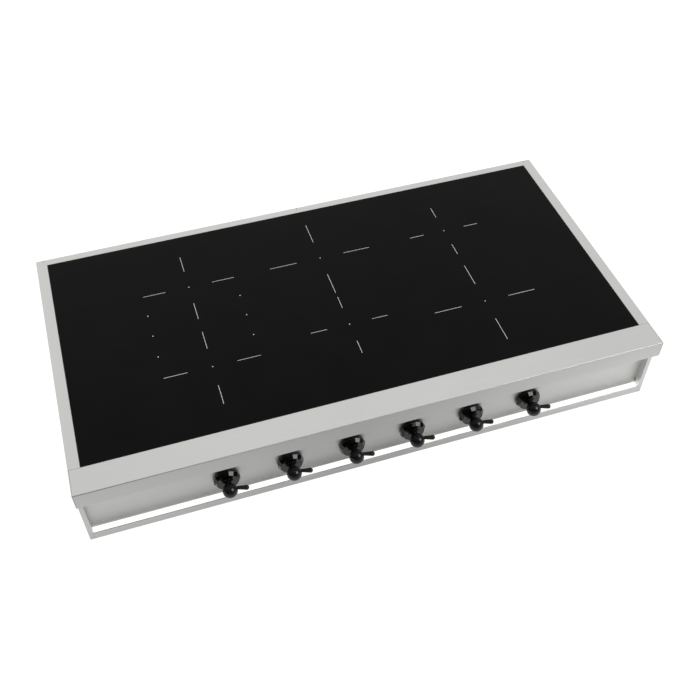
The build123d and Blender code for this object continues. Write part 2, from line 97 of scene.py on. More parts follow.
steelLook = {
    "darkGrain": "C3C3C1",
    "lightGrain": "CECECC",
    "streakWidth": 0.9 * mm,     # real brushing is about 0.1 mm, drawn coarser so that it shows
    "streakLength": 120 * mm,
    "streakRoughness": 0.62,
    "cloudSize": 220 * mm,
    "cloudShare": 0.3,
    "toneStart": 0.38,           # part of the noise over which the tone changes
    "toneEnd": 0.62,
    "roughLow": 0.44,
    "roughHigh": 0.54,
    "bump": 0.04,
    "bumpDepth": 0.2 * mm,
}


def brushedStainlessSteel(name, along):
    # Belt-brushed 304 sheet: long fine streaks in one direction, with soft uneven gloss
    material, tree, place = newMaterial(name)
    across = 1 / steelLook["streakWidth"]
    lengthwise = 1 / steelLook["streakLength"]
    scale = tuple(lengthwise if axis == along else across for axis in "xyz")
    stretched = addNode(tree, "ShaderNodeMapping", {"Scale": scale}, {"Vector": (place, "Object")})
    streaks = addNode(
        tree, "ShaderNodeTexNoise",
        {"Scale": 1.0, "Detail": 6.0, "Roughness": steelLook["streakRoughness"]},
        {"Vector": (stretched, "Vector")},
    )
    clouds = addNode(
        tree, "ShaderNodeTexNoise", {"Scale": 1 / steelLook["cloudSize"], "Detail": 2.0},
        {"Vector": (place, "Object")},
    )
    both = addNode(
        tree, "ShaderNodeMix", {"data_type": "FLOAT", "Factor": steelLook["cloudShare"]},
        {2: (streaks, "Fac"), 3: (clouds, "Fac")},
    )
    tones = between(
        toLinear(steelLook["darkGrain"]), toLinear(steelLook["lightGrain"]),
        steelLook["toneStart"], steelLook["toneEnd"],
    )
    colour = addNode(tree, "ShaderNodeValToRGB", {"stops": tones}, {"Fac": (both, 0)})
    gloss = between(grey(steelLook["roughLow"]), grey(steelLook["roughHigh"]))
    rough = addNode(tree, "ShaderNodeValToRGB", {"stops": gloss}, {"Fac": (both, 0)})
    bump = addNode(
        tree, "ShaderNodeBump", {"Strength": steelLook["bump"], "Distance": steelLook["bumpDepth"]},
        {"Height": (streaks, "Fac")},
    )
    shader = addNode(
        tree, "ShaderNodeBsdfPrincipled", {"Metallic": 1.0},
        {"Base Color": (colour, "Color"), "Roughness": (rough, "Color"), "Normal": (bump, "Normal")},
    )
    addNode(tree, "ShaderNodeOutputMaterial", {}, {"Surface": (shader, "BSDF")})
    return material


galvanisedLook = {
    "dark": "9B9EA0",
    "light": "A8ABAD",
    "spangle": 6 * mm,
    "roughLow": 0.42,
    "roughHigh": 0.5,
}


def galvanisedSteel():
    # Hot-dipped sheet: crystal spangles that differ a little in tone and gloss
    material, tree, place = newMaterial("galvanised steel sheet")
    spangle = addNode(
        tree, "ShaderNodeTexVoronoi", {"Scale": 1 / galvanisedLook["spangle"]}, {"Vector": (place, "Object")}
    )
    tone = addNode(tree, "ShaderNodeSeparateColor", {}, {"Color": (spangle, "Color")})
    tones = between(toLinear(galvanisedLook["dark"]), toLinear(galvanisedLook["light"]), 0, 1)
    colour = addNode(tree, "ShaderNodeValToRGB", {"stops": tones}, {"Fac": (tone, "Red")})
    gloss = between(grey(galvanisedLook["roughLow"]), grey(galvanisedLook["roughHigh"]), 0, 1)
    rough = addNode(tree, "ShaderNodeValToRGB", {"stops": gloss}, {"Fac": (tone, "Green")})
    shader = addNode(
        tree, "ShaderNodeBsdfPrincipled", {"Metallic": 1.0},
        {"Base Color": (colour, "Color"), "Roughness": (rough, "Color")},
    )
    addNode(tree, "ShaderNodeOutputMaterial", {}, {"Surface": (shader, "BSDF")})
    return material


def grained(name, low, high, grain, gloss, relief, settings=None):
    # A finish whose tone, gloss and surface vary together at a grain size given per axis
    material, tree, place = newMaterial(name)
    scale = tuple(1 / size for size in grain)
    scaled = addNode(tree, "ShaderNodeMapping", {"Scale": scale}, {"Vector": (place, "Object")})
    noise = addNode(tree, "ShaderNodeTexNoise", {"Scale": 1.0, "Detail": 5.0}, {"Vector": (scaled, "Vector")})
    tones = between(toLinear(low), toLinear(high))
    colour = addNode(tree, "ShaderNodeValToRGB", {"stops": tones}, {"Fac": (noise, "Fac")})
    glosses = between(grey(gloss[0]), grey(gloss[1]))
    rough = addNode(tree, "ShaderNodeValToRGB", {"stops": glosses}, {"Fac": (noise, "Fac")})
    bump = addNode(
        tree, "ShaderNodeBump", {"Strength": relief, "Distance": 0.1 * mm}, {"Height": (noise, "Fac")}
    )
    shader = addNode(
        tree, "ShaderNodeBsdfPrincipled", settings,
        {"Base Color": (colour, "Color"), "Roughness": (rough, "Color"), "Normal": (bump, "Normal")},
    )
    addNode(tree, "ShaderNodeOutputMaterial", {}, {"Surface": (shader, "BSDF")})
    return material


def turnedMetal(name, low, high, ringPitch, roughLow, roughHigh):
    # Tool lines on machined, drawn or wound metal
    return grained(
        name, low, high, (5 * ringPitch, ringPitch, ringPitch), (roughLow, roughHigh), 0.08, {"Metallic": 1.0}
    )


def speckled(name, low, high, grain, roughLow, roughHigh, relief, settings=None):
    # Glass, enamel, paint, plastic and rubber: the same grain in every direction
    return grained(name, low, high, (grain, grain, grain), (roughLow, roughHigh), relief, settings)


steelAlongX = brushedStainlessSteel("brushed stainless steel, grain along the width", "x")
steelAlongY = brushedStainlessSteel("brushed stainless steel, grain front to back", "y")
steelAlongZ = brushedStainlessSteel("brushed stainless steel, upright grain", "z")
caseSteel = galvanisedSteel()      # inner case sheet: crystals catch the light unevenly
machinedSteel = turnedMetal(       # fine tool lines with a crisp shine
    "machined zinc-plated steel", "9A9C9E", "BFC1C2", 0.8 * mm, 0.22, 0.38
)
millAluminium = turnedMetal(       # pale and slightly streaked from rolling
    "mill-finish aluminium", "B0B3B6", "CBCDD0", 1.5 * mm, 0.30, 0.48
)
copperLitz = turnedMetal(          # reddish strands under varnish
    "enamelled copper litz", "7A3F22", "A85F36", 1.2 * mm, 0.28, 0.42
)
glassCeramic = speckled(          # polished black plate: deep, almost even, with a faint roll in its gloss
    "black glass ceramic", "080809", "0B0B0C", 90 * mm, 0.03, 0.07, 0.01,
    {"IOR": 1.52, "Specular IOR Level": 0.043},
)
markEnamel = speckled(            # screen-printed ceramic ink, fired into the plate: matte light grey
    "fired ceramic ink", "BDBDBB", "D4D4D2", 0.8 * mm, 0.5, 0.65, 0.1
)
sealant = speckled(               # soft matte bead
    "black silicone sealant", "0B0B0B", "151515", 2.0 * mm, 0.45, 0.6, 0.15
)
glossEnamel = speckled(           # stoved black enamel on cast metal: wet gloss with a slight orange peel
    "gloss black stove enamel", "050506", "09090A", 1.6 * mm, 0.09, 0.14, 0.03, {"IOR": 1.45}
)
satinEnamel = speckled(           # satin powder coat on the ball: soft highlight and fine grit
    "satin black powder coat", "131415", "1D1E1F", 0.7 * mm, 0.17, 0.25, 0.06, {"IOR": 1.4}
)
leverLacquer = speckled(          # olive-black lacquer over the turned lever
    "olive black lacquer", "22231B", "303126", 0.9 * mm, 0.32, 0.44, 0.08, {"IOR": 1.3}
)
mouldedPlastic = speckled(         # fine spark-eroded texture
    "moulded black nylon", "121212", "1C1C1C", 0.9 * mm, 0.45, 0.6, 0.15
)
footRubber = speckled(             # dusty and almost without shine
    "moulded black rubber", "141414", "1F1F1F", 1.1 * mm, 0.65, 0.85, 0.25
)
ferriteBlack = speckled(           # dull, gritty, a little blue
    "sintered ferrite", "24242A", "34343B", 0.8 * mm, 0.55, 0.7, 0.2
)
boardGreen = speckled(             # weave of the epoxy faintly under the mask
    "green solder mask on glass epoxy", "0E4A26", "17603A", 3.0 * mm, 0.28, 0.42, 0.06
)
sensorCeramic = speckled(          # warm white with a glaze
    "glazed white ceramic", "D9D5CA", "ECE9E0", 2.5 * mm, 0.18, 0.3, 0.04
)
print("materials made")


# Mesh helpers

def linkPiece(name, mesh, material, body):
    piece = bpy.data.objects.new(name, mesh)
    bpy.context.scene.collection.objects.link(piece)
    if material:
        mesh.materials.clear()
        mesh.materials.append(material)
    if body:
        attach(piece, body)
    return piece


def applied(piece):
    # The evaluated shape as a plain mesh, with the modifiers gone
    graph = bpy.context.evaluated_depsgraph_get()
    mesh = bpy.data.meshes.new_from_object(piece.evaluated_get(graph))
    piece.modifiers.clear()
    piece.data = mesh
    return mesh


def smoothByAngle(mesh, degrees):
    work = bmesh.new()
    work.from_mesh(mesh)
    limit = math.radians(degrees)
    for face in work.faces:
        face.smooth = True
    for edge in work.edges:
        edge.smooth = len(edge.link_faces) == 2 and edge.calc_face_angle(0.0) < limit
    work.to_mesh(mesh)
    work.free()


def flattenBroadFaces(piece):
    # Lets broad flat faces set the normals, so that only bends and broken edges shade round
    weigh = piece.modifiers.new("broad faces first", "WEIGHTED_NORMAL")
    weigh.mode = "FACE_AREA"
    weigh.weight = 100
    weigh.keep_sharp = True
    applied(piece)


def breakEdges(piece, width, bevelOver, smoothUnder):
    # Small bevels where faces meet at more than bevelOver degrees, shaded round below smoothUnder
    bevel = piece.modifiers.new("broken edges", "BEVEL")
    bevel.width = width
    bevel.segments = 2
    bevel.limit_method = "ANGLE"
    bevel.angle_limit = math.radians(bevelOver)
    smoothByAngle(applied(piece), smoothUnder)
    flattenBroadFaces(piece)


edging = {
    "mergeWithin": 0.002 * mm,
    "flatWithin": 1.0,           # degrees; faces that differ by less become one
    "bevelOver": 35.0,
    "smoothUnder": 50.0,
    "turnedSmoothUnder": 40.0,
}


def softEdged(nodeName, material, edge, body="root"):
    # A merged copy of a CAD node with its edges broken, which then stands for it
    mesh = nodes[nodeName].data.copy()
    work = bmesh.new()
    work.from_mesh(mesh)
    bmesh.ops.remove_doubles(work, verts=work.verts, dist=edging["mergeWithin"])
    flatWithin = math.radians(edging["flatWithin"])
    bmesh.ops.dissolve_limit(work, angle_limit=flatWithin, verts=work.verts, edges=work.edges)
    work.to_mesh(mesh)
    work.free()
    piece = linkPiece(nodeName + "_finished", mesh, material, None)
    breakEdges(piece, edge, edging["bevelOver"], edging["smoothUnder"])
    low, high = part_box(nodeName)
    for vertex in piece.data.vertices:
        vertex.co = [min(max(value, start), end) for value, start, end in zip(vertex.co, low, high)]
    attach(piece, body)
    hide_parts(nodeName)
    return piece


def lathe(name, profile, place, sides, material, body):
    # Turns (radius, along) points round the local Z axis of place; a radius of 0 closes in a pole
    work = bmesh.new()
    rings = []
    for radius, along in profile:
        if radius == 0:
            rings.append([work.verts.new(place @ Vector((0, 0, along)))])
            continue
        ring = []
        for i in range(sides):
            turn = 2 * math.pi * i / sides
            corner = Vector((radius * math.cos(turn), radius * math.sin(turn), along))
            ring.append(work.verts.new(place @ corner))
        rings.append(ring)
    for low, high in zip(rings, rings[1:]):
        for i in range(sides):
            j = (i + 1) % sides
            if len(low) == 1:
                work.faces.new((low[0], high[j], high[i]))
            elif len(high) == 1:
                work.faces.new((low[i], low[j], high[0]))
            else:
                work.faces.new((low[i], low[j], high[j], high[i]))
    bmesh.ops.recalc_face_normals(work, faces=work.faces)
    mesh = bpy.data.meshes.new(name)
    work.to_mesh(mesh)
    work.free()
    smoothByAngle(mesh, edging["turnedSmoothUnder"])
    return linkPiece(name, mesh, material, body)


def arcPoints(centreAlong, radius, startDegrees, endDegrees, steps):
    # (radius, along) points on a circle about the axis, angles from the along direction
    points = []
    for i in range(steps + 1):
        turn = math.radians(startDegrees + (endDegrees - startDegrees) * i / steps)
        points.append((max(radius * math.sin(turn), 0.0), centreAlong + radius * math.cos(turn)))
    return points


# Deck, ledge and case

edges = {
    "trim": 0.35 * mm,
    "ledge": 0.3 * mm,
    "bar": 0.45 * mm,
    "panel": 0.3 * mm,
    "case": 0.25 * mm,
    "glass": 0.4 * mm,
}

softEdged("deck_frame", steelAlongX, edges["trim"])
softEdged("front_ledge", steelAlongX, edges["ledge"])
softEdged("ledge_caps", steelAlongY, edges["ledge"])
softEdged("post_left", steelAlongZ, edges["bar"])
softEdged("post_right", steelAlongZ, edges["bar"])
softEdged("bottom_bar", steelAlongX, edges["bar"])
softEdged("control_panel", steelAlongX, edges["panel"])
softEdged("recess_cheeks", steelAlongZ, edges["panel"])
for caseNode in ("side_panel_left", "side_panel_right", "back_panel", "bottom_pan"):
    softEdged(caseNode, caseSteel, edges["case"])
print("sheet metal made")


# Glass and its printed marks

plate = softEdged("glass_panel", glassCeramic, edges["glass"])

zoneMarks = {
    "lineWidth": 1.25 * mm,
    "dotRadius": 1.45 * mm,
    "dotSides": 24,
    "thickness": 0.06 * mm,
    "proud": 0.03 * mm,          # how far the ink stands above the plate
    "columnX": (-293.0 * mm, 4.0 * mm, 300.1 * mm),
    "frontRow": (223.3 * mm, 249.3 * mm, 224.1 * mm),
    "rearRow": (461.0 * mm, 461.6 * mm, 461.5 * mm),
    "frontArms": ((51.2 * mm, 99.4 * mm), (49.2 * mm, 83.7 * mm), (54.1 * mm, 115.2 * mm)),
    "rearArms": ((51.2 * mm, 99.4 * mm), (54.6 * mm, 115.2 * mm), (49.2 * mm, 82.7 * mm)),
    "bridgeReach": 99.3 * mm,
    "bridgeFirst": 282.7 * mm,
    "bridgePitch": 59.75 * mm,
    "bridgeDots": 3,
}


def geometryTree(name, inputs):
    tree = bpy.data.node_groups.new(name, "GeometryNodeTree")
    tree.interface.new_socket("Geometry", in_out="OUTPUT", socket_type="NodeSocketGeometry")
    for label, kind in inputs:
        tree.interface.new_socket(label, in_out="INPUT", socket_type=kind)
    return tree, tree.nodes.new("NodeGroupInput"), tree.nodes.new("NodeGroupOutput")


def grow(tree, values, name):
    # Runs a tree on an empty mesh and returns the result as a plain mesh
    holder = bpy.data.objects.new(name, bpy.data.meshes.new(name))
    bpy.context.scene.collection.objects.link(holder)
    modifier = holder.modifiers.new(name, "NODES")
    modifier.node_group = tree
    sockets = {s.name: s.identifier for s in tree.interface.items_tree if s.in_out == "INPUT"}
    for label, value in values.items():
        modifier[sockets[label]] = value
    graph = bpy.context.evaluated_depsgraph_get()
    mesh = bpy.data.meshes.new_from_object(holder.evaluated_get(graph))
    bpy.data.objects.remove(holder)
    return mesh


def crossMarkTree():
    # A dot with four thin arms round it, as flat slabs centred on the origin
    tree, given, result = geometryTree("cross mark", (
        ("Arm start", "NodeSocketFloat"),
        ("Arm end", "NodeSocketFloat"),
        ("Line width", "NodeSocketFloat"),
        ("Dot radius", "NodeSocketFloat"),
        ("Thickness", "NodeSocketFloat"),
        ("Ink", "NodeSocketMaterial"),
    ))
    span = addNode(
        tree, "ShaderNodeMath", {"operation": "SUBTRACT"}, {0: (given, "Arm end"), 1: (given, "Arm start")}
    )
    reach = addNode(
        tree, "ShaderNodeMath", {"operation": "ADD"}, {0: (given, "Arm end"), 1: (given, "Arm start")}
    )
    middle = addNode(tree, "ShaderNodeMath", {"operation": "MULTIPLY", 1: 0.5}, {0: (reach, 0)})
    slab = addNode(
        tree, "ShaderNodeCombineXYZ", {},
        {"X": (span, 0), "Y": (given, "Line width"), "Z": (given, "Thickness")},
    )
    bar = addNode(tree, "GeometryNodeMeshCube", {}, {"Size": (slab, 0)})
    shift = addNode(tree, "ShaderNodeCombineXYZ", {}, {"X": (middle, 0)})
    arm = addNode(
        tree, "GeometryNodeTransform", {}, {"Geometry": (bar, "Mesh"), "Translation": (shift, 0)}
    )
    points = addNode(tree, "GeometryNodePoints", {"Count": 4})
    index = addNode(tree, "GeometryNodeInputIndex")
    quarter = addNode(tree, "ShaderNodeMath", {"operation": "MULTIPLY", 1: math.pi / 2}, {0: (index, 0)})
    turn = addNode(tree, "ShaderNodeCombineXYZ", {}, {"Z": (quarter, 0)})
    arms = addNode(
        tree, "GeometryNodeInstanceOnPoints", {},
        {"Points": (points, 0), "Instance": (arm, "Geometry"), "Rotation": (turn, 0)},
    )
    dot = addNode(
        tree, "GeometryNodeMeshCylinder", {"Vertices": zoneMarks["dotSides"]},
        {"Radius": (given, "Dot radius"), "Depth": (given, "Thickness")},
    )
    joined = addNode(tree, "GeometryNodeJoinGeometry")
    tree.links.new(arms.outputs[0], joined.inputs[0])
    tree.links.new(dot.outputs["Mesh"], joined.inputs[0])
    real = addNode(tree, "GeometryNodeRealizeInstances", {}, {"Geometry": (joined, 0)})
    inked = addNode(
        tree, "GeometryNodeSetMaterial", {}, {"Geometry": (real, 0), "Material": (given, "Ink")}
    )
    tree.links.new(inked.outputs[0], result.inputs[0])
    return tree


def dotRowTree():
    # A straight row of dots along Y from the origin
    tree, given, result = geometryTree("dot row", (
        ("Count", "NodeSocketInt"),
        ("Pitch", "NodeSocketFloat"),
        ("Dot radius", "NodeSocketFloat"),
        ("Thickness", "NodeSocketFloat"),
        ("Ink", "NodeSocketMaterial"),
    ))
    step = addNode(tree, "ShaderNodeCombineXYZ", {}, {"Y": (given, "Pitch")})
    line = addNode(tree, "GeometryNodeMeshLine", {}, {"Count": (given, "Count"), "Offset": (step, 0)})
    dot = addNode(
        tree, "GeometryNodeMeshCylinder", {"Vertices": zoneMarks["dotSides"]},
        {"Radius": (given, "Dot radius"), "Depth": (given, "Thickness")},
    )
    dots = addNode(
        tree, "GeometryNodeInstanceOnPoints", {}, {"Points": (line, 0), "Instance": (dot, "Mesh")}
    )
    real = addNode(tree, "GeometryNodeRealizeInstances", {}, {"Geometry": (dots, 0)})
    inked = addNode(
        tree, "GeometryNodeSetMaterial", {}, {"Geometry": (real, 0), "Material": (given, "Ink")}
    )
    tree.links.new(inked.outputs[0], result.inputs[0])
    return tree


def printedMarks():
    # Six cooking zones and the dots that bridge the left pair, level with the top of the frame
    crossTree = crossMarkTree()
    rowTree = dotRowTree()
    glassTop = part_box("glass_panel")[1][2]
    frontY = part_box("ledge_caps")[0][1]
    inkZ = glassTop - zoneMarks["thickness"] / 2
    shared = {
        "Dot radius": zoneMarks["dotRadius"],
        "Thickness": zoneMarks["thickness"],
        "Ink": markEnamel,
    }
    work = bmesh.new()
    for rows, arms in (("frontRow", "frontArms"), ("rearRow", "rearArms")):
        for x, row, (start, end) in zip(zoneMarks["columnX"], zoneMarks[rows], zoneMarks[arms]):
            sizes = {"Arm start": start, "Arm end": end, "Line width": zoneMarks["lineWidth"]}
            mesh = grow(crossTree, {**shared, **sizes}, "cross mark")
            mesh.transform(Matrix.Translation((x, frontY + row, inkZ)))
            work.from_mesh(mesh)
    for side in (-1, 1):
        sizes = {"Count": zoneMarks["bridgeDots"], "Pitch": zoneMarks["bridgePitch"]}
        mesh = grow(rowTree, {**shared, **sizes}, "dot row")
        x = zoneMarks["columnX"][0] + side * zoneMarks["bridgeReach"]
        mesh.transform(Matrix.Translation((x, frontY + zoneMarks["bridgeFirst"], inkZ)))
        work.from_mesh(mesh)
    mesh = bpy.data.meshes.new("zone_marks")
    work.to_mesh(mesh)
    work.free()
    piece = linkPiece("zone_marks", mesh, markEnamel, "root")


printedMarks()
for vertex in plate.data.vertices:
    vertex.co.z -= zoneMarks["proud"]
print("glass and marks made")


# Knobs

knobLook = {
    "rosetteSides": 16,
    "rosetteBase": 26.1 * mm,
    "rosetteWaist": 27.1 * mm,
    "rosetteFront": 22.2 * mm,
    "waistHeight": 7.6 * mm,
    "rosetteHeight": 15.0 * mm,
    "bossRadius": 12.5 * mm,
    "bossHeight": 1.6 * mm,
    "boreRadius": 6.5 * mm,
    "hollowRadius": 13.0 * mm,
    "hollowDepth": 11.0 * mm,
    "rosetteEdge": 0.4 * mm,
    "facetDegrees": 12.0,        # facets that meet at more than this get a small bevel
    "bossSides": 64,
    "boreSides": 48,
    "ballSides": 64,
    "ballSteps": 30,
    "neckRadius": 6.0 * mm,
    "leverSides": 32,
    "leverLean": 15.0,
    "leverLength": 38.4 * mm,
    "leverBehindBall": 6.2 * mm,
    "leverHidden": 9.0 * mm,     # where the lever begins, inside the ball
    "leverTaper": 15.6 * mm,     # where it begins to widen
    "leverRoot": 3.4 * mm,
    "leverTip": 5.0 * mm,
    "tipSteps": 12,
}


def rosetteTree():
    # A faceted drum along Z: base ring, wider waist ring and narrower front ring, then a round boss.
    # A bore lets the neck through, and a hollow at the back clears the nut.
    tree, given, result = geometryTree("faceted rosette", (
        ("Sides", "NodeSocketInt"),
        ("Base radius", "NodeSocketFloat"),
        ("Waist radius", "NodeSocketFloat"),
        ("Front radius", "NodeSocketFloat"),
        ("Waist height", "NodeSocketFloat"),
        ("Height", "NodeSocketFloat"),
        ("Boss radius", "NodeSocketFloat"),
        ("Boss height", "NodeSocketFloat"),
        ("Bore radius", "NodeSocketFloat"),
        ("Hollow radius", "NodeSocketFloat"),
        ("Hollow depth", "NodeSocketFloat"),
        ("Enamel", "NodeSocketMaterial"),
    ))
    drum = addNode(
        tree, "GeometryNodeMeshCylinder", {"Side Segments": 2, "Radius": 1.0, "Depth": 2.0},
        {"Vertices": (given, "Sides")},
    )
    position = addNode(tree, "GeometryNodeInputPosition")
    axes = addNode(tree, "ShaderNodeSeparateXYZ", {}, {"Vector": (position, 0)})
    aboveBase = addNode(
        tree, "ShaderNodeMath", {"operation": "GREATER_THAN", 1: -0.5}, {0: (axes, "Z")}
    )
    atFront = addNode(tree, "ShaderNodeMath", {"operation": "GREATER_THAN", 1: 0.5}, {0: (axes, "Z")})
    lowerRadius = addNode(
        tree, "ShaderNodeMix", {"data_type": "FLOAT"},
        {0: (aboveBase, 0), 2: (given, "Base radius"), 3: (given, "Waist radius")},
    )
    radius = addNode(
        tree, "ShaderNodeMix", {"data_type": "FLOAT"},
        {0: (atFront, 0), 2: (lowerRadius, 0), 3: (given, "Front radius")},
    )
    lowerHeight = addNode(
        tree, "ShaderNodeMath", {"operation": "MULTIPLY"}, {0: (aboveBase, 0), 1: (given, "Waist height")}
    )
    height = addNode(
        tree, "ShaderNodeMix", {"data_type": "FLOAT"},
        {0: (atFront, 0), 2: (lowerHeight, 0), 3: (given, "Height")},
    )
    newX = addNode(tree, "ShaderNodeMath", {"operation": "MULTIPLY"}, {0: (axes, "X"), 1: (radius, 0)})
    newY = addNode(tree, "ShaderNodeMath", {"operation": "MULTIPLY"}, {0: (axes, "Y"), 1: (radius, 0)})
    placed = addNode(tree, "ShaderNodeCombineXYZ", {}, {"X": (newX, 0), "Y": (newY, 0), "Z": (height, 0)})
    facets = addNode(
        tree, "GeometryNodeSetPosition", {}, {"Geometry": (drum, "Mesh"), "Position": (placed, 0)}
    )
    halfFacet = addNode(
        tree, "ShaderNodeMath", {"operation": "DIVIDE", 0: math.pi}, {1: (given, "Sides")}
    )
    turn = addNode(tree, "ShaderNodeCombineXYZ", {}, {"Z": (halfFacet, 0)})
    turned = addNode(
        tree, "GeometryNodeTransform", {}, {"Geometry": (facets, 0), "Rotation": (turn, 0)}
    )
    bossDepth = addNode(
        tree, "ShaderNodeMath", {"operation": "MULTIPLY", 1: 2.0}, {0: (given, "Boss height")}
    )
    disc = addNode(
        tree, "GeometryNodeMeshCylinder", {"Vertices": knobLook["bossSides"]},
        {"Radius": (given, "Boss radius"), "Depth": (bossDepth, 0)},
    )
    lifted = addNode(tree, "ShaderNodeCombineXYZ", {}, {"Z": (given, "Height")})
    boss = addNode(
        tree, "GeometryNodeTransform", {}, {"Geometry": (disc, "Mesh"), "Translation": (lifted, 0)}
    )
    solid = addNode(tree, "GeometryNodeMeshBoolean", {"operation": "UNION", "solver": "EXACT"})
    tree.links.new(turned.outputs[0], solid.inputs[1])
    tree.links.new(boss.outputs[0], solid.inputs[1])
    boreDepth = addNode(
        tree, "ShaderNodeMath", {"operation": "MULTIPLY", 1: 4.0}, {0: (given, "Height")}
    )
    bore = addNode(
        tree, "GeometryNodeMeshCylinder", {"Vertices": knobLook["boreSides"]},
        {"Radius": (given, "Bore radius"), "Depth": (boreDepth, 0)},
    )
    hollowSpan = addNode(
        tree, "ShaderNodeMath", {"operation": "MULTIPLY", 1: 2.0}, {0: (given, "Hollow depth")}
    )
    hollow = addNode(
        tree, "GeometryNodeMeshCylinder", {"Vertices": knobLook["boreSides"]},
        {"Radius": (given, "Hollow radius"), "Depth": (hollowSpan, 0)},
    )
    cut = addNode(
        tree, "GeometryNodeMeshBoolean", {"operation": "DIFFERENCE", "solver": "EXACT"}, {0: (solid, 0)}
    )
    tree.links.new(bore.outputs["Mesh"], cut.inputs[1])
    tree.links.new(hollow.outputs["Mesh"], cut.inputs[1])
    real = addNode(tree, "GeometryNodeRealizeInstances", {}, {"Geometry": (cut, 0)})
    enamelled = addNode(
        tree, "GeometryNodeSetMaterial", {}, {"Geometry": (real, 0), "Material": (given, "Enamel")}
    )
    tree.links.new(enamelled.outputs[0], result.inputs[0])
    return tree


facetedRosette = rosetteTree()


def rosette(number):
    low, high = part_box(f"knob_rosette_{number}")
    centre = Vector(((low[0] + high[0]) / 2, high[1], (low[2] + high[2]) / 2))
    mesh = grow(facetedRosette, {
        "Sides": knobLook["rosetteSides"],
        "Base radius": knobLook["rosetteBase"],
        "Waist radius": knobLook["rosetteWaist"],
        "Front radius": knobLook["rosetteFront"],
        "Waist height": knobLook["waistHeight"],
        "Height": knobLook["rosetteHeight"],
        "Boss radius": knobLook["bossRadius"],
        "Boss height": knobLook["bossHeight"],
        "Bore radius": knobLook["boreRadius"],
        "Hollow radius": knobLook["hollowRadius"],
        "Hollow depth": knobLook["hollowDepth"],
        "Enamel": glossEnamel,
    }, f"rosette {number}")
    mesh.transform(Matrix.Translation(centre) @ Matrix.Rotation(math.pi / 2, 4, "X"))
    piece = linkPiece(f"knob_rosette_{number}_finished", mesh, glossEnamel, None)
    breakEdges(piece, knobLook["rosetteEdge"], knobLook["facetDegrees"], knobLook["facetDegrees"])
    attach(piece, "root")
    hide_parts(f"knob_rosette_{number}")


def ballAndLever(number):
    # Ball on its neck, and the leaning lever, both turned and closed at their poles
    body = f"knob_{number}"
    low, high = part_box(f"knob_ball_{number}")
    spindleLow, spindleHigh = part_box(f"knob_spindle_{number}")
    radius = (high[2] - low[2]) / 2
    spindleX = (spindleLow[0] + spindleHigh[0]) / 2
    centre = Vector((spindleX, low[1] + radius, (low[2] + high[2]) / 2))
    forward = Matrix.Translation(centre) @ Matrix.Rotation(math.pi / 2, 4, "X")
    neck = knobLook["neckRadius"]
    joinDegrees = 180 - math.degrees(math.asin(neck / radius))
    neckEnd = centre.y - high[1]
    ballProfile = arcPoints(0, radius, 0, joinDegrees, knobLook["ballSteps"])
    ballProfile += [(neck, neckEnd), (0, neckEnd)]
    ball = lathe(
        f"knob_ball_{number}_finished", ballProfile, forward, knobLook["ballSides"], satinEnamel, body
    )
    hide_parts(f"knob_ball_{number}")
    lean = math.radians(knobLook["leverLean"])
    origin = centre + Vector((0, knobLook["leverBehindBall"], 0))
    direction = Vector((math.cos(lean), -math.sin(lean), 0))
    turn = Vector((0, 0, 1)).rotation_difference(direction)
    place = Matrix.Translation(origin) @ turn.to_matrix().to_4x4()
    start = knobLook["leverHidden"]
    root = knobLook["leverRoot"]
    tip = knobLook["leverTip"]
    leverProfile = [(0, start), (root, start), (root, knobLook["leverTaper"])]
    leverProfile += reversed(arcPoints(knobLook["leverLength"] - tip, tip, 0, 90, knobLook["tipSteps"]))
    lever = lathe(
        f"knob_lever_{number}_finished", leverProfile, place, knobLook["leverSides"], leverLacquer, body
    )
    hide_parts(f"knob_lever_{number}")


for number in range(1, 7):
    rosette(number)
    ballAndLever(number)
print("knobs made")


# Carried-over nodes take their materials

finishes = {
    sealant: ["glass_seal"],
    machinedSteel: ["levelling_feet", "backguard_nuts", "switch_nuts", "board_standoffs"]
    + [f"knob_spindle_{number}" for number in range(1, 7)],
    footRubber: ["foot_pads"],
    mouldedPlastic: [
        "cable_gland", "rotary_switches", "coil_carriers", "power_components", "terminal_block",
        "fan_frames", "fan_rotor_left", "fan_rotor_right",
    ],
    millAluminium: ["coil_tray", "tray_posts", "heatsinks"],
    ferriteBlack: ["ferrite_bars"],
    copperLitz: ["coil_windings"],
    sensorCeramic: ["temperature_sensors"],
    boardGreen: ["inverter_boards", "control_board", "filter_board"],
}
for material, names in finishes.items():
    for name in names:
        for materialSlot in nodes[name].material_slots:
            materialSlot.material = material
print("inner pieces finished")


# Floor, light and camera

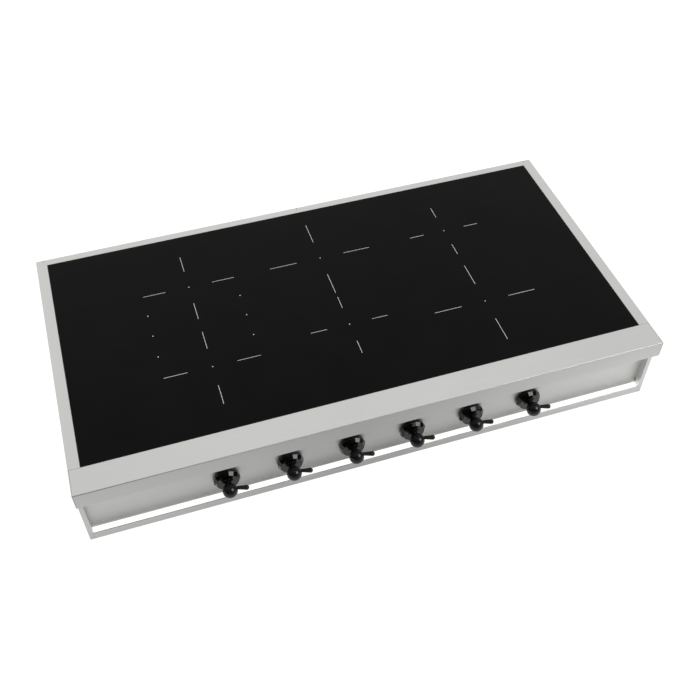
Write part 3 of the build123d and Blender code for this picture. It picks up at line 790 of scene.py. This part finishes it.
studio = {
    "sheetReach": 14.0,
    "floorHeight": -0.1 * mm,
    "floorWhite": 1.02,
    "paperDark": "F8F8F7",
    "paperLight": "FEFEFE",
    "paperMottle": 1.4,          # mottle cells per metre
    "paperBounce": 0.06,
    "sheetRough": 0.9,
    "cardHeight": -0.05 * mm,
    "cardBounce": 0.05,
    "cardGrey": 0.78,
    "cardDip": 0.24,             # how much darker the card is in front of the middle
    "cardDipWidth": 0.42,
    "cardRight": 0.25,           # how much brighter it gets per metre to the right
    "cardRightEnd": 0.6,         # and how far that goes
    "cardFrom": -0.5,            # the card's strength varies between these two depths
    "cardTo": -0.25,
    "cardGains": (
        (0.0, 0.42), (0.56, 0.68), (0.72, 0.6), (0.805, 0.5), (0.815, 1.0), (1.0, 1.0),
    ),
    "cardPeak": 2.0,             # gain that stands for 1.0 in the list above
    "wallDirection": (0.05, 0.78, 0.62),
    "wallStops": (
        (0.0, 0.03), (0.35, 0.12), (0.62, 0.55), (0.86, 1.12), (0.96, 1.14), (1.0, 1.3),
    ),
    "keyAim": (0, -0.2, 0.1),
    "keyDirection": (0.59, -0.43, 0.69),
    "keyDistance": 6.0,
    "keySize": 3.2,
    "keyPower": 200.0,
    "cameraAhead": 1.02769,
    "cameraSide": -0.40998,
    "cameraAbove": 1.43264,
    "cameraPitch": 48.47,
    "cameraYaw": 18.04,
    "lens": 48.37,
    "sensorWidth": 36.0,
    "lensShift": 0.00071,
}


def flatSheet(name, height, material):
    reach = studio["sheetReach"]
    outline = ((-reach, -reach), (reach, -reach), (reach, reach), (-reach, reach))
    corners = [(x, y, height) for x, y in outline]
    mesh = bpy.data.meshes.new(name)
    mesh.from_pydata(corners, [], [(0, 1, 2, 3)])
    sheet = linkPiece(name, mesh, material, None)
    return sheet


def paperMaterial():
    # White seamless paper, evenly lit from below its surface, with a faint fibre mottle
    material, tree, place = newMaterial("white seamless paper")
    mottle = addNode(
        tree, "ShaderNodeTexNoise", {"Scale": studio["paperMottle"], "Detail": 2.0},
        {"Vector": (place, "Object")},
    )
    tones = between(toLinear(studio["paperDark"]), toLinear(studio["paperLight"]))
    colour = addNode(tree, "ShaderNodeValToRGB", {"stops": tones}, {"Fac": (mottle, "Fac")})
    shader = addNode(
        tree, "ShaderNodeBsdfPrincipled",
        {
            "Roughness": studio["sheetRough"],
            "Emission Strength": studio["floorWhite"],
            "Base Color": grey(studio["paperBounce"]),
        },
        {"Emission Color": (colour, "Color")},
    )
    addNode(tree, "ShaderNodeOutputMaterial", {}, {"Surface": (shader, "BSDF")})
    return material


def cardMaterial():
    # Grey bounce card: lights the upright faces softly, less in front of the middle, more to the
    # right, and most from under the object
    material, tree, place = newMaterial("grey bounce card")
    axes = addNode(tree, "ShaderNodeSeparateXYZ", {}, {"Vector": (place, "Object")})
    across = addNode(
        tree, "ShaderNodeMath", {"operation": "DIVIDE", 1: studio["cardDipWidth"]}, {0: (axes, "X")}
    )
    square = addNode(tree, "ShaderNodeMath", {"operation": "MULTIPLY"}, {0: (across, 0), 1: (across, 0)})
    falling = addNode(
        tree, "ShaderNodeMath", {"operation": "MULTIPLY", 1: -1.0}, {0: (square, 0)}
    )
    bell = addNode(tree, "ShaderNodeMath", {"operation": "EXPONENT"}, {0: (falling, 0)})
    dip = addNode(
        tree, "ShaderNodeMath", {"operation": "MULTIPLY", 1: -studio["cardDip"]}, {0: (bell, 0)}
    )
    base = addNode(
        tree, "ShaderNodeMath", {"operation": "ADD", 1: studio["cardGrey"]}, {0: (dip, 0)}
    )
    rightward = addNode(tree, "ShaderNodeMath", {"operation": "MAXIMUM", 1: 0.0}, {0: (axes, "X")})
    nearRight = addNode(
        tree, "ShaderNodeMath", {"operation": "MINIMUM", 1: studio["cardRightEnd"]}, {0: (rightward, 0)}
    )
    slanted = addNode(
        tree, "ShaderNodeMath", {"operation": "MULTIPLY_ADD", 1: studio["cardRight"]},
        {0: (nearRight, 0), 2: (base, 0)},
    )
    depth = addNode(
        tree, "ShaderNodeMapRange", {"From Min": studio["cardFrom"], "From Max": studio["cardTo"]},
        {"Value": (axes, "Y")},
    )
    gains = [(position, grey(gain)) for position, gain in studio["cardGains"]]
    gain = addNode(tree, "ShaderNodeValToRGB", {"stops": gains}, {"Fac": (depth, "Result")})
    scaled = addNode(
        tree, "ShaderNodeMath", {"operation": "MULTIPLY", 1: studio["cardPeak"]}, {0: (gain, "Color")}
    )
    strength = addNode(tree, "ShaderNodeMath", {"operation": "MULTIPLY"}, {0: (slanted, 0), 1: (scaled, 0)})
    shader = addNode(
        tree, "ShaderNodeBsdfPrincipled",
        {
            "Roughness": studio["sheetRough"],
            "Base Color": grey(studio["cardBounce"]),
            "Emission Color": (1, 1, 1, 1),
        },
        {"Emission Strength": (strength, 0)},
    )
    addNode(tree, "ShaderNodeOutputMaterial", {}, {"Surface": (shader, "BSDF")})
    return material


floor = flatSheet("floor", studio["floorHeight"], paperMaterial())
floor.visible_glossy = False
floor.visible_diffuse = False
card = flatSheet("bounce_card", studio["cardHeight"], cardMaterial())
card.visible_camera = False
card.visible_shadow = False

aim = Vector(studio["keyDirection"]).normalized()
lamp = bpy.data.lights.new("key softbox", "AREA")
lamp.shape = "RECTANGLE"
lamp.size = studio["keySize"]
lamp.size_y = studio["keySize"]
lamp.energy = studio["keyPower"]
key = bpy.data.objects.new("key softbox", lamp)
bpy.context.scene.collection.objects.link(key)
key.location = Vector(studio["keyAim"]) + aim * studio["keyDistance"]
key.rotation_euler = aim.to_track_quat("Z", "Y").to_euler()

world = bpy.data.worlds.new("studio")
bpy.context.scene.world = world
world.use_nodes = True
tree = world.node_tree
background = tree.nodes["Background"]
outward = addNode(tree, "ShaderNodeTexCoord")
wallDirection = Vector(studio["wallDirection"]).normalized()
facing = addNode(
    tree, "ShaderNodeVectorMath", {"operation": "DOT_PRODUCT", 1: wallDirection},
    {0: (outward, "Generated")},
)
wallTones = [(position, grey(strength)) for position, strength in studio["wallStops"]]
wall = addNode(tree, "ShaderNodeValToRGB", {"stops": wallTones}, {"Fac": (facing, "Value")})
wall.color_ramp.interpolation = "EASE"
tree.links.new(wall.outputs["Color"], background.inputs["Color"])

capLow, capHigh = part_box("ledge_caps")
camera = bpy.data.objects.new("camera", bpy.data.cameras.new("camera"))
bpy.context.scene.collection.objects.link(camera)
camera.data.lens = studio["lens"]
camera.data.sensor_width = studio["sensorWidth"]
camera.data.shift_x = -studio["lensShift"]
camera.data.shift_y = studio["lensShift"]
cameraY = capLow[1] - studio["cameraAhead"]
cameraZ = capHigh[2] + studio["cameraAbove"]
camera.location = (studio["cameraSide"], cameraY, cameraZ)
tilt = math.radians(90 - studio["cameraPitch"])
camera.rotation_euler = (tilt, 0, math.radians(-studio["cameraYaw"]))
bpy.context.scene.camera = camera
bpy.context.scene.view_settings.view_transform = "Standard"
print("studio made")
